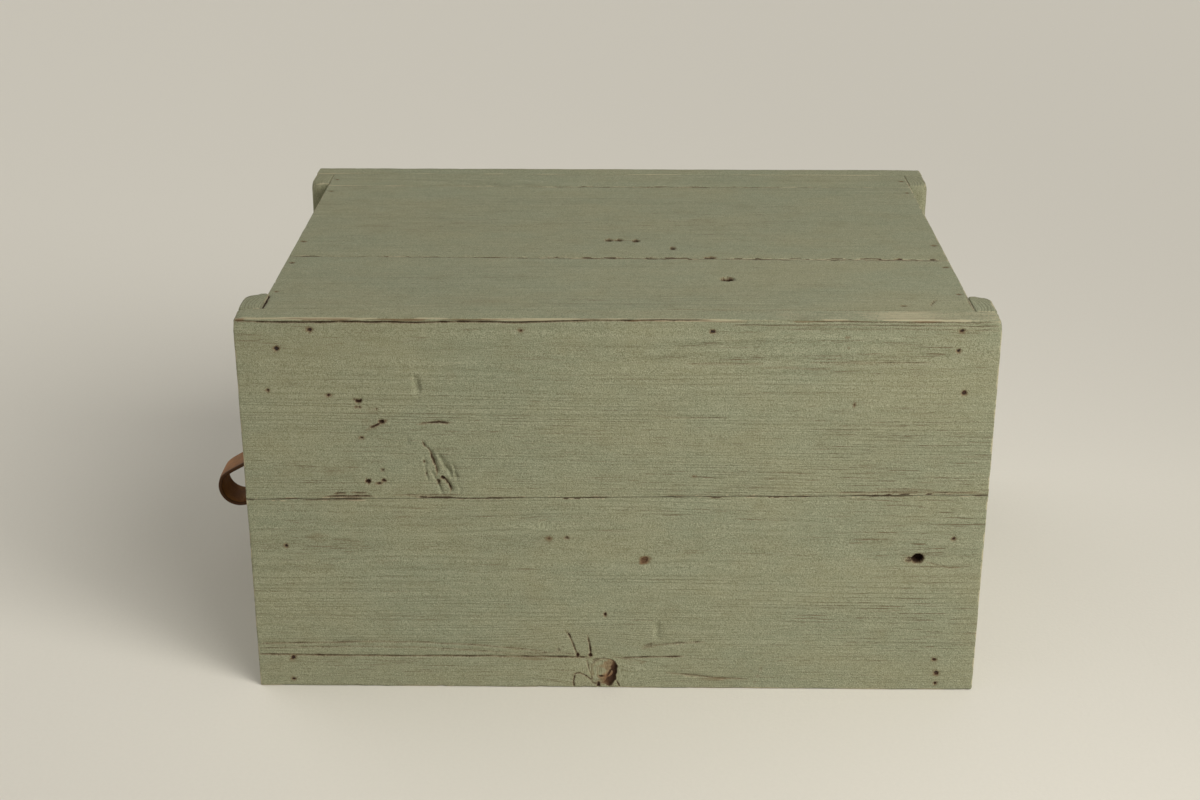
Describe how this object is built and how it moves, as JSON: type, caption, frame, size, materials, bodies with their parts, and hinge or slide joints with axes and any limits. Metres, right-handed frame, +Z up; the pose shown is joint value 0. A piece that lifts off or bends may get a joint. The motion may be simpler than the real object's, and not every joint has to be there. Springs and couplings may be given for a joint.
{
  "type": "wooden drawer box",
  "caption": "Low nailed plank box with one deep drawer in its front, corner strips, worn paint and a folded leather strap pull that flexes.",
  "frame": {"origin": "centre of the case's underside", "axes": "+Z up, the drawer comes out towards -Y, the long plank sides face +X and -X"},
  "size_m": [0.3, 0.4477, 0.22],
  "materials": {
    "painted_wood": "thin worn sage-green paint over old planks",
    "bare_wood": "unpainted, lightly soiled softwood",
    "nail_iron": "dark rusted nails",
    "pull_leather": "natural brown strap leather with burnished edges",
    "old_brass": "dull aged brass"
  },
  "bodies": {
    "case": {"right_side_lower_plank": "painted_wood", "right_side_upper_plank": "painted_wood", "left_side_lower_plank": "painted_wood", "left_side_upper_plank": "painted_wood", "right_top_plank": "painted_wood", "middle_top_plank": "painted_wood", "left_top_plank": "painted_wood", "front_bottom_plank": "painted_wood", "middle_bottom_plank": "painted_wood", "back_bottom_plank": "painted_wood", "back_lower_plank": "painted_wood", "back_upper_plank": "painted_wood", "front_top_rail": "painted_wood", "front_stile_right": "painted_wood", "front_stile_left": "painted_wood", "front_corner_strip_right": "painted_wood", "front_corner_strip_left": "painted_wood", "back_corner_strip_right": "painted_wood", "back_corner_strip_left": "painted_wood", "drawer_guide_right": "bare_wood", "drawer_guide_left": "bare_wood", "kicker_right": "bare_wood", "kicker_left": "bare_wood", "top_cleat": "bare_wood", "drawer_stop_right": "bare_wood", "drawer_stop_left": "bare_wood", "right_side_nails": "nail_iron", "left_side_nails": "nail_iron", "top_nails": "nail_iron", "strip_nails": "nail_iron", "bottom_nails": "nail_iron", "runner_nails": "nail_iron", "cleat_nails": "nail_iron"},
    "drawer": {"drawer_front": "painted_wood", "drawer_side_right": "bare_wood", "drawer_side_left": "bare_wood", "drawer_back": "bare_wood", "drawer_bottom": "bare_wood", "drawer_nails": "nail_iron", "pull_root": "pull_leather", "pull_screw": "old_brass", "pull_washer": "old_brass", "inner_washer": "old_brass", "pull_nut": "old_brass"},
    "pull": {"pull_loop": "pull_leather"}
  },
  "joints": [
    {"name": "drawer_slide", "type": "slide", "parent": "case", "child": "drawer", "axis": [0, -1, 0], "range_m": [0, 0.25]},
    {"name": "pull_flex", "type": "hinge", "parent": "drawer", "child": "pull", "pos_m": [0, -0.1913, 0.097], "axis": [1, 0, 0], "range_deg": [-41, 35], "stiffness_Nm_per_rad": 0.4}
  ]
}
